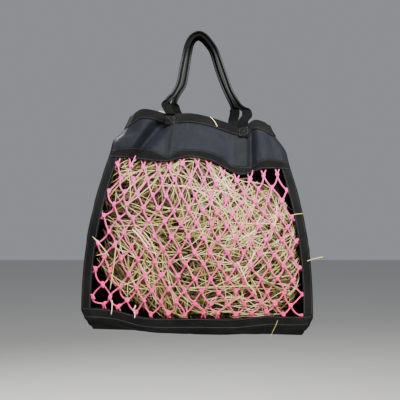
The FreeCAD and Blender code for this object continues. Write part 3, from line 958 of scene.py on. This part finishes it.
knots = [[knot_place(row, column) for column in range(COLUMNS)] for row in range(ROWS)]
print("knots:", ROWS * COLUMNS, "from", [round(c, 3) for c in knots[0][0][0]])

# %% Strands between the knots, and their ends under the tapes
net_strands = Tubes()


def strand(a, b, bow):
    middle = (a + b) / 2.0
    middle += Vector((chance.uniform(-1, 1) * bow, chance.uniform(-0.4, 1.0) * bow, -0.4 * bow))
    path = curve_through(a, middle + (middle - (a + b) / 2.0), b, 9)
    net_strands.add(path, [TWINE_RADIUS] * len(path), 6, tint=chance.random())


def tuck(place, aside, rise):
    """A strand that runs from a knot in under a tape."""
    spot, x, level = place
    strand(spot, front(x + aside, level + rise, NET_OUT - 0.001), 0.0012)


UNDER_TAPE, UNDER_SIDE = 0.026, 0.012
for row in range(ROWS):
    for column in range(COLUMNS):
        place = knots[row][column]
        if row + 1 < ROWS:
            below = (column - 1, column) if row % 2 == 0 else (column, column + 1)
            for other in below:
                if 0 <= other < COLUMNS:
                    loose = 0.004 + 0.004 * smooth(6.0, 11.0, row) + 0.003 * (column < 2)
                    strand(place[0], knots[row + 1][other][0], loose)
        if row == 0:
            for aside in (-0.010, 0.010):
                tuck(place, aside, UNDER_TAPE)
        if row == ROWS - 1:
            for aside in (-0.008, 0.008):
                tuck(place, aside, -UNDER_TAPE)
    end, aside = (-1, UNDER_SIDE) if row % 2 else (0, -UNDER_SIDE)
    for rise in (UNDER_SIDE, -UNDER_SIDE):
        tuck(knots[row][end], aside, rise)

strands = net_strands.build("net_strands")
finish_piece(strands, twine, "bag", ["feeding_net"])

# %% One knot, then a copy at every crossing
# Each turn is (radius, tilt, spin, rise), in metres and degrees.
KNOT_TURNS = ((0.0034, 62, 0, 0.0), (0.0031, 100, 55, 0.0014), (0.0031, 80, -50, -0.0015))


def one_knot():
    """Three small turns of twine, joined as one prototype."""
    turns = []
    for radius, tilt, spin, rise in KNOT_TURNS:
        bpy.ops.mesh.primitive_torus_add(
            major_segments=8, minor_segments=4, major_radius=radius, minor_radius=TWINE_RADIUS,
            location=(0, 0, rise), rotation=(math.radians(tilt), math.radians(spin), 0),
        )
        turns.append(bpy.context.object)
    bpy.ops.object.select_all(action="DESELECT")
    for turn in turns:
        turn.select_set(True)
    bpy.context.view_layer.objects.active = turns[0]
    bpy.ops.object.join()
    bpy.ops.object.transform_apply(location=True, rotation=True, scale=True)
    return bpy.context.object


knot = one_knot()
knot_points = [v.co.copy() for v in knot.data.vertices]
knot_faces = [tuple(p.vertices) for p in knot.data.polygons]
bpy.data.objects.remove(knot)
places_of_knots, faces_of_knots = [], []
for row in knots:
    for spot, x, level in row:
        roll = Matrix.Rotation(chance.uniform(-0.9, 0.9), 3, "Y")
        turn = roll @ Matrix.Rotation(chance.uniform(-0.3, 0.3), 3, "Z")
        grow = chance.uniform(0.86, 1.12)
        stretch = chance.uniform(0.85, 1.15)
        start = len(places_of_knots)
        for p in knot_points:
            q = Vector((p.x * stretch, p.y * 0.8, p.z * 1.15 / stretch)) * grow
            places_of_knots.append(tuple(turn @ q + spot + Vector((0, -0.0008, 0))))
        faces_of_knots += [tuple(start + i for i in face) for face in knot_faces]
net_knots = new_object("net_knots", places_of_knots, faces_of_knots)
layer = net_knots.data.uv_layers.new(name="UVMap")
for polygon in net_knots.data.polygons:
    for corner, loop in enumerate(polygon.loop_indices):
        layer.data[loop].uv = (0.25 * (corner in (1, 2)), 0.0024 * (corner > 1))
select_only(net_knots)
bpy.ops.object.shade_smooth()
finish_piece(net_knots, twine, "bag")
print("knot faces:", len(faces_of_knots))

# %% [markdown]
# ## The hay
#
# Packed hay is a tangle with depth: pale stalks on top and brown ones behind them, painted darker as
# the shade they lie in. A rough dark lump fills the middle, a painted shade for the hay's depths, and
# thousands of bent stalks lie on it in layers, each following the bulge of the front. The lump rounds
# away at its edges, which leaves the bag's lower left and upper right corners empty and black.

# %% How far the hay reaches, and how deep it lies
HAY_X, HAY_Z = 0.010, -0.482
HAY_HALF_X, HAY_HALF_Z = 0.250, 0.208
SQUARENESS = 8.0  # 2 would make the outline round
# The hay's sides as chosen (height, x) points.
HAY_LEFT = ((-0.690, -0.118), (-0.655, -0.150), (-0.622, -0.188), (-0.590, -0.224), (-0.540, -0.243),
            (-0.450, -0.247), (-0.380, -0.236), (-0.320, -0.216), (-0.270, -0.196))
HAY_RIGHT = ((-0.690, 0.212), (-0.640, 0.234), (-0.560, 0.246), (-0.480, 0.244), (-0.440, 0.233),
             (-0.400, 0.210), (-0.360, 0.160), (-0.325, 0.100), (-0.290, 0.066))


def hay_edge(x, z):
    """0 in the middle of the hay and 1 on its edge, seen from the front."""
    left, right = wave(z, HAY_LEFT), wave(z, HAY_RIGHT)
    dx, dz = (2.0 * x - left - right) / (right - left), (z - HAY_Z) / HAY_HALF_Z
    ragged = 0.05 * noise.noise(Vector((x * 16.0, z * 16.0, 1.3)))
    return (abs(dx) ** SQUARENESS + abs(dz) ** SQUARENESS) ** (1 / SQUARENESS) + ragged


def hay_face(x, level, depth):
    """A point depth behind the net, further back near the hay's edge."""
    spot = front(x, level)
    edge = min(1.1, hay_edge(x, spot.z))
    tufts = 0.005 * noise.noise(Vector((x * 42.0, level * 42.0, 4.4)))
    return front(x, level, -0.0055 - depth - 0.020 * edge ** 12 + tufts)

# %% The dark lump inside: a painted shade for the hay's depths
bpy.ops.mesh.primitive_uv_sphere_add(segments=72, ring_count=40, radius=1.0)
lump = bpy.context.object
lump.name = "hay_shade_lump"
MIDDLE_Y = -0.035
for vertex in lump.data.vertices:
    way = vertex.co.normalized()
    x = HAY_X + HAY_HALF_X * 0.95 * math.copysign(abs(way.x) ** 0.8, way.x)
    z = HAY_Z + HAY_HALF_Z * 0.97 * math.copysign(abs(way.z) ** 0.8, way.z)
    if way.y < 0:
        face_y = min(MIDDLE_Y - 0.002, hay_face(x, z, 0.028).y)
        y = MIDDLE_Y + (face_y - MIDDLE_Y) * abs(way.y) ** 0.55
    else:
        y = MIDDLE_Y + (BACK_Y - 0.016 - MIDDLE_Y) * way.y ** 0.55
    vertex.co = Vector((x, y, z))
bpy.ops.object.shade_smooth()
finish_piece(lump, hay_shade, "bag", ["hay_fill"])

# %% Layers of stalks over the front
straw = random.Random(29)


def lay_stalks(tubes, count, depth, tints, lengths, widths):
    """depth, lengths and widths are ranges in metres; tints is a mean and a spread."""
    steps, made = 6, 0
    while made < count:
        x = HAY_X + straw.uniform(-1, 1) * HAY_HALF_X * 1.02
        level = HAY_Z + straw.uniform(-1, 1) * HAY_HALF_Z * 1.02
        swirl = noise.noise(Vector((x * 5.0, level * 5.0, 8.8)))
        heading = swirl * 2.4 + straw.gauss(0.0, 0.75)
        if hay_edge(x, front(x, level).z) > 0.99:
            continue
        length, width = straw.uniform(*lengths), straw.uniform(*widths)
        bend, sink = straw.gauss(0.0, 0.16), straw.uniform(*depth)
        spots, px, pl = [], x, level
        for step in range(steps + 1):
            arch = 0.004 * math.sin(math.pi * step / steps)
            spots.append(hay_face(px, pl, sink - arch + straw.uniform(-0.001, 0.001)))
            px += math.cos(heading) * length / steps
            pl += math.sin(heading) * length / steps
            heading += bend
            if hay_edge(px, front(px, pl).z) > 1.03:
                break
        if len(spots) < 3:
            continue
        radii = [width / 2.0] * len(spots)
        radii[-1] = radii[0] = width * 0.3
        tubes.add(spots, radii, 4, straw.uniform(0.35, 0.8), min(1.0, max(0.0, straw.gauss(*tints))))
        made += 1


# The deep layer gets low tints, a painted shade for the depth it lies at; the spread is the stalks' own
# variation.
deep_hay = Tubes()
lay_stalks(deep_hay, 1150, (0.015, 0.036), (0.12, 0.10), (0.04, 0.13), (0.0013, 0.0026))
deep = deep_hay.build("hay_deep_stalks")
finish_piece(deep, hay_stalk, "bag")

top_hay = Tubes()
lay_stalks(top_hay, 820, (0.004, 0.018), (0.34, 0.18), (0.04, 0.13), (0.0009, 0.0019))
lay_stalks(top_hay, 130, (0.001, 0.009), (0.40, 0.12), (0.05, 0.14), (0.0030, 0.0046))
lay_stalks(top_hay, 430, (-0.002, 0.006), (0.92, 0.15), (0.04, 0.17), (0.0007, 0.0014))
top = top_hay.build("hay_top_stalks")
finish_piece(top, hay_stalk, "bag")

# %% Hay under the mouth
CROWN_STALKS, CROWN_TOP, CROWN_HALF_X, CROWN_BACK_Y = 650, -0.285, 0.15, 0.024


def behind_cloth(spot, room):
    """Keeps a point of the hay room behind the yoke, and clear of its folds on both sides."""
    level = spot.z + 0.09 * spot.x
    inmost = max(front(spot.x + aside, level).y for aside in (-0.018, -0.009, 0.0, 0.009, 0.018))
    spot.y = max(spot.y, inmost + room)


crown_hay = Tubes()
for i in range(CROWN_STALKS):
    x = HAY_X + straw.uniform(-0.14, 0.14)
    y = straw.uniform(-0.075, 0.018)
    mound = CROWN_TOP - 1.6 * (x - HAY_X) ** 2 - 4.0 * (y + 0.03) ** 2 + straw.uniform(-0.010, 0.006)
    heading, length = straw.uniform(0, 2 * math.pi), straw.uniform(0.04, 0.11)
    tilt = straw.uniform(-0.02, 0.012)
    reach = Vector((math.cos(heading) * length, math.sin(heading) * length * 0.45, tilt))
    start = Vector((x, y, mound))
    finish = start + reach
    for tip in (start, finish):
        tip.x = min(CROWN_HALF_X, max(-CROWN_HALF_X, tip.x))
        tip.y = min(CROWN_BACK_Y, tip.y)
        behind_cloth(tip, 0.010)
    rise = Vector((0, 0, straw.uniform(0.0, 0.012)))
    path = curve_through(start, (start + finish) / 2.0 + rise, finish, 6)
    for spot in path:
        behind_cloth(spot, 0.008)
    width = straw.uniform(0.0016, 0.0032)
    crown_hay.add(path, [width / 2] * 6, 4, 0.6, min(1, max(0, straw.gauss(0.5, 0.2))), Vector((0, 0, 1)))
crown = crown_hay.build("hay_crown_stalks")
finish_piece(crown, hay_stalk, "bag")

# %% Single stalks that stick out through the net
# Each is (start x, start z, end x, end z, how far its end stands out, width, tint), in metres.
STRAYS = (
    (-0.212, -0.532, -0.251, -0.487, 0.012, 0.0018, 0.90),
    (-0.220, -0.528, -0.241, -0.532, 0.010, 0.0014, 0.80),
    (0.222, -0.437, 0.253, -0.433, 0.014, 0.0016, 0.85),
    (0.262, -0.546, 0.300, -0.536, 0.020, 0.0018, 0.90),
    (0.190, -0.686, 0.169, -0.727, 0.012, 0.0012, 0.60),
    (-0.193, -0.496, -0.208, -0.612, 0.006, 0.0026, 0.74),
    (-0.155, -0.469, -0.118, -0.513, 0.006, 0.0032, 1.00),
    (-0.148, -0.466, -0.112, -0.510, 0.005, 0.0022, 0.96),
    (0.092, -0.545, 0.116, -0.598, 0.007, 0.0026, 0.95),
    (0.116, -0.598, 0.139, -0.624, 0.008, 0.0022, 0.92),
    (-0.020, -0.608, 0.146, -0.603, 0.006, 0.0030, 0.76),
    (-0.148, -0.650, -0.154, -0.662, 0.006, 0.0026, 0.92),
    (-0.204, -0.638, -0.206, -0.672, 0.007, 0.0022, 0.92),
    (-0.152, -0.662, -0.150, -0.680, 0.008, 0.0020, 1.00),
    (0.030, -0.196, 0.047, -0.221, 0.005, 0.0016, 1.00),
    (-0.095, -0.182, -0.078, -0.190, 0.005, 0.0014, 1.00),
)


def level_at(x, z):
    """The level whose place on the front is at the height z."""
    level = z
    for _ in range(4):
        level += z - front(x, level).z
    return level


stray_hay = Tubes()
for x0, z0, x1, z1, stand, width, tint_value in STRAYS:
    a = front(x0, level_at(x0, z0), 0.002)
    b = front(x1, level_at(x1, z1), stand)
    middle = (a + b) / 2.0 + Vector((0.003, -0.004, 0.003))
    path = curve_through(a, middle, b, 8)
    radii = [width / 2.0] * 7 + [width * 0.2]
    stray_hay.add(path, radii, 5, 0.55, tint_value)
strays = stray_hay.build("hay_stray_stalks")
finish_piece(strays, hay_stalk, "bag")

# %% [markdown]
# ## The handles
#
# Each handle is one length of 25 mm webbing. Its ends are sewn flat at the mouth. Above them both its
# edges are rolled over towards each other, so that its two selvedges show, painted pale as a highlight,
# and it arches over the peg and comes down again. We sweep a strap's width along the route and close
# the fold as we go.
# It is one piece that bends from the bag to the swinging loop, so its CAD loop and ends are both
# replaced.

# %% A smooth route through chosen points
def smooth_route(points, per_span):
    """A Catmull-Rom line through the points."""
    line = []
    for i in range(len(points) - 1):
        p0, p1 = points[max(0, i - 1)], points[i]
        p2, p3 = points[i + 1], points[min(len(points) - 1, i + 2)]
        for k in range(per_span):
            t = k / per_span
            line.append(
                0.5 * (2 * p1 + (p2 - p0) * t + (2 * p0 - 5 * p1 + 4 * p2 - p3) * t * t
                       + (3 * p1 - p0 - 3 * p2 + p3) * t ** 3)
            )
    line.append(points[-1])
    return line


def lengths_along(line):
    travelled = [0.0]
    for a, b in zip(line, line[1:]):
        travelled.append(travelled[-1] + (b - a).length)
    return travelled

# %% The fold: flat where it is sewn, rolled over above the hinge
SEWN = 0.024  # how deep an end is sewn down the binding
SEWN_DEPTHS = (SEWN, 0.016, 0.008, 0.0)
FRONT_ENDS, BACK_ENDS = (-0.0677, 0.1112), (-0.048, 0.089)  # where the straps cross their hinges
PER_SPAN, ACROSS = 7, 28  # points of the mesh between two of the route's, and across the strap
ROLL_BASE, ROLL_RADIUS, ROLL_ANGLE = 0.0040, 0.0013, math.radians(166)


def rolled(w, closing):
    """Where a point w from a strap's middle lies once its edge is rolled over: (across, height)."""
    base = STRAP_WIDTH / 2.0 + (ROLL_BASE - STRAP_WIDTH / 2.0) * closing
    if w <= base:
        return w, 0.0
    turn = min(ROLL_ANGLE * closing, (w - base) / (ROLL_RADIUS + TAPE / 2.0))
    rest = max(0.0, w - base - turn * (ROLL_RADIUS + TAPE / 2.0))
    across = base + ROLL_RADIUS * math.sin(turn) + rest * math.cos(turn)
    return across, ROLL_RADIUS * (1.0 - math.cos(turn)) + rest * math.sin(turn)


FLAT, FOLDED = 0.020, 0.036  # above the hinge: open up to here, and folded from here
SIDEWAYS = Vector((1.0, 0.0, -0.1)).normalized()  # across a sewn end, along the leaning mouth


def strap_frames(line, travelled, hinges, plane_out):
    """For each point of the line: (its place, sideways, out of the fold, how far it is folded)."""
    frames = []
    for i, spot in enumerate(line):
        ahead = (line[min(i + 1, len(line) - 1)] - line[max(i - 1, 0)]).normalized()
        above = min(travelled[i] - hinges[0], hinges[1] - travelled[i])
        side = ahead.cross(plane_out).normalized()
        level_side = SIDEWAYS if SIDEWAYS.dot(side) > 0 else -SIDEWAYS
        side = level_side.lerp(side, smooth(0.008, FOLDED, above)).normalized()
        thick = side.cross(ahead).normalized()
        thick = thick if thick.dot(plane_out) > 0 else -thick
        frames.append((spot, side, thick, smooth(FLAT, FOLDED, above)))
    return frames

# %% Sweep a strap along its route
def handle(name, top_y, sewn, joint_name, ends, left_leg, right_leg, nodes):
    """The strap's top is at top_y, and sewn(x, depth) is a point of a sewn end. ends is where it
    crosses its hinge. Each leg is (x, z) points above that: the left one rises to the middle of the
    top, and the right one comes down again."""
    joint = [j for j in frame["record"]["behaviour"]["joints"] if j["name"] == joint_name][0]
    axis, pivot = Vector(joint["axis"]), Vector(joint["pos_m"])
    top_x, top_z = left_leg[-1]

    def hinge(x):
        return pivot + axis * ((x - pivot.x) / axis.x)

    slope = (top_y - hinge(top_x).y) / (top_z - hinge(top_x).z)

    def in_plane(x, z):
        return Vector((x, hinge(x).y + (z - hinge(x).z) * slope, z))

    route = [sewn(ends[0], depth) for depth in SEWN_DEPTHS] + [hinge(ends[0])]
    route += [in_plane(x, z) for x, z in left_leg + right_leg] + [hinge(ends[1])]
    route += [sewn(ends[1], depth) for depth in reversed(SEWN_DEPTHS)]
    line = smooth_route(route, PER_SPAN)
    travelled = lengths_along(line)
    total = travelled[-1]
    sewn_points = len(SEWN_DEPTHS) * PER_SPAN
    hinges = [travelled[sewn_points], travelled[-1 - sewn_points]]
    plane_out = (in_plane(1.0, 0.0) - in_plane(0.0, 0.0)).cross(in_plane(0.0, 1.0) - in_plane(0.0, 0.0))
    plane_out.normalize()
    plane_out = plane_out if plane_out.y < 0 else -plane_out
    rows = strap_frames(line, travelled, hinges, plane_out)

    def point(s, t):
        spot, side, thick, closing = rows[int(round(t * (len(rows) - 1)))]
        w = (s - 0.5) * STRAP_WIDTH
        x, height = rolled(abs(w), closing)
        return spot + side * math.copysign(x, w) + thick * height

    strap = lay_cloth(name, point, (STRAP_WIDTH, total), ACROSS, len(rows) - 1, (0, -1, 0.01), TAPE)
    strap.data.materials.clear()
    strap.data.materials.append(strap_webbing)
    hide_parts(*nodes)
    up = plane_out.cross(axis).normalized()
    up = up if up.z > 0 else -up
    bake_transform(strap)
    print(name, "webbing length", round(total, 3), "m")

# %% The front and the back handle
def front_sewn(x, depth):
    return front(x, MOUTH - 0.001 - depth, 0.0048)


def back_sewn(x, depth):
    return Vector((x, BACK_Y - FABRIC - 0.0083, MOUTH - 0.001 - depth - lean(MOUTH) * x))


handle(
    "front_handle_webbing", -0.007, front_sewn, "front_handle_swing", FRONT_ENDS,
    [(-0.0740, -0.175), (-0.0775, -0.163), (-0.0700, -0.150), (-0.0593, -0.139),
     (-0.0465, -0.112), (-0.0400, -0.078), (-0.0315, -0.035), (-0.0250, -0.011), (-0.0140, 0.007),
     (0.0025, 0.0145)],
    [(0.0170, 0.008), (0.0300, -0.007), (0.0450, -0.032), (0.0620, -0.080), (0.0765, -0.123),
     (0.0850, -0.142), (0.0930, -0.156), (0.1020, -0.170), (0.1175, -0.182), (0.1205, -0.193)],
    ["front_handle_loop", "front_handle_left_end", "front_handle_right_end"],
)
handle(
    "back_handle_webbing", 0.007, back_sewn, "back_handle_swing", BACK_ENDS,
    [(-0.0560, -0.174), (-0.0600, -0.161), (-0.0580, -0.147), (-0.0500, -0.132),
     (-0.0360, -0.109), (-0.0290, -0.075), (-0.0220, -0.032), (-0.0170, -0.010), (-0.0090, 0.002),
     (0.0015, 0.0065)],
    [(0.0110, 0.002), (0.0220, -0.009), (0.0355, -0.029), (0.0510, -0.076), (0.0650, -0.113),
     (0.0760, -0.137), (0.0845, -0.154), (0.0900, -0.168), (0.0930, -0.180)],
    ["back_handle_loop", "back_handle_left_end", "back_handle_right_end"],
)

# %% [markdown]
# ## Stitching
#
# Each tape of the net's frame is held by two rows of lockstitch and the mouth's binding by one, and
# each handle end by a box with a cross in it. One stitch is a short spindle of thread, sunk a little
# into the cloth.

# %% Rows of stitches
STITCH, STITCH_GAP = 0.0034, 0.0014
FROM_EDGE = 0.003
PROUD = 0.0001  # how far the thread's middle line stands off what it is sewn to


def sew(tubes, line, outward):
    """Stitches along a line of points, evenly spaced."""
    travelled, next_start, start = 0.0, 0.0, None
    for a, b in zip(line, line[1:]):
        span = (b - a).length
        while span and next_start < travelled + span:
            spot = a.lerp(b, (next_start - travelled) / span)
            if start is None:
                start = spot
                next_start += STITCH
            else:
                middle = (start + spot) / 2.0
                path = [start, middle + outward * 0.0003, spot]
                tubes.add(path, [0.0002, 0.00045, 0.0002], 4, 1.0, 0.5, outward)
                start = None
                next_start += STITCH_GAP
        travelled += span


def steps(count):
    return [i / (count - 1.0) for i in range(count)]

# %% Rows along the front's tapes
front_thread = Tubes()
toward = Vector((0, -1, 0))


def across_front(level, out, inset=0.004):
    left, right = edge_x(0, level) + inset, edge_x(1, level) - inset
    return [front(left + (right - left) * s, level, out) for s in steps(220)]


sew(front_thread, across_front(MOUTH - BINDING + FROM_EDGE, OVER + PROUD), toward)
for level in (
    HEADER_TOP - FROM_EDGE, HEADER_BOTTOM + FROM_EDGE, BOTTOM_TAPE_TOP - FROM_EDGE, BASE_FRONT + 0.004
):
    sew(front_thread, across_front(level, TAPE_OUT + PROUD), toward)
levels = [HEADER_BOTTOM + (BOTTOM_TAPE_TOP - HEADER_BOTTOM) * t for t in steps(160)]
for side, name, sign in SIDES:
    for inset in (0.004, TAPE_WIDTH - FROM_EDGE):
        seam = edge(side, inset)
        sew(front_thread, [front(seam(level), level, SIDE_TAPE_OUT + PROUD) for level in levels], toward)
front_stitches = front_thread.build("front_stitches")
finish_piece(front_stitches, thread, "bag")

# %% Rows along the back's edges
back_thread = Tubes()
away = Vector((0, 1, 0))
for t, proud in ((0.016 / (MOUTH - BASE_BACK), OVER + PROUD), (0.985, PROUD)):
    sew(back_thread, [back_cloth_skin(s, t) + away * proud for s in steps(160)], away)
for s in (0.012, 0.988):
    sew(back_thread, [back_cloth_skin(s, 0.05 + 0.94 * t) + away * PROUD for t in steps(160)], away)
back_stitches = back_thread.build("back_stitches")
finish_piece(back_stitches, thread, "bag")

# %% A box and cross on each handle end
box_thread = Tubes()


def box_stitch(sewn, x, proud, outward):
    half = STRAP_WIDTH / 2.0 - 0.0025
    corners = [sewn(x + a * half, d) + outward * proud
               for a, d in ((-1, 0.004), (1, 0.004), (1, SEWN - 0.003), (-1, SEWN - 0.003))]
    rounds = [(0, 1), (1, 2), (2, 3), (3, 0), (0, 2), (1, 3)]
    for i, k in rounds:
        sew(box_thread, [corners[i].lerp(corners[k], t) for t in steps(12)], outward)


for x in FRONT_ENDS:
    box_stitch(front_sewn, x, 0.0012, toward)
for x in BACK_ENDS:
    box_stitch(back_sewn, x, PROUD, toward)
box_stitches = box_thread.build("handle_end_stitches")
finish_piece(box_stitches, thread, "bag")
